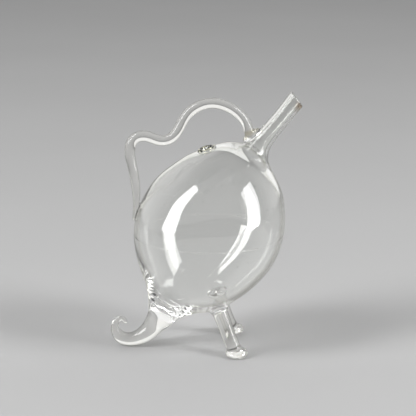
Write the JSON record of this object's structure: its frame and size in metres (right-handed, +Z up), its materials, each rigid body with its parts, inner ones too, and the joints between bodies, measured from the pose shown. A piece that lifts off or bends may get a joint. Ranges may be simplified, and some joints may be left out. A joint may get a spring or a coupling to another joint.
{
  "type": "pouring flask",
  "caption": "Blown clear glass flask with a leaning egg-shaped bulb, a slanted spout, a wavy rod handle, two stub legs and a curled tail it stands on.",
  "frame": {"origin": "on the surface it stands on, below the middle of the object's box", "axes": "+Z up; +X towards the spout, which pours that way; +Y to the left of a person who looks along +X; spout, handle and tail lie in the plane Y = 0"},
  "size_m": [0.1465, 0.1106, 0.2001],
  "materials": {
    "blown_glass": "fire-polished thin blown glass, very slightly grey-green, with fine seeds and faint tool marks",
    "worked_glass": "fire-polished solid glass rod and gathers, glossy, faintly green in the thick"
  },
  "bodies": {
    "root": {"body_bulb": "blown_glass", "spout_tube": "blown_glass", "filler_rim": "worked_glass", "handle_seal_pad": "worked_glass", "handle_rod": "worked_glass", "handle_flattened_tip": "worked_glass", "tail_root": "worked_glass", "tail_curl": "worked_glass", "leg_left": "worked_glass", "leg_right": "worked_glass", "leg_collar_left": "worked_glass", "leg_collar_right": "worked_glass", "foot_pad_left": "worked_glass", "foot_pad_right": "worked_glass"}
  },
  "joints": []
}
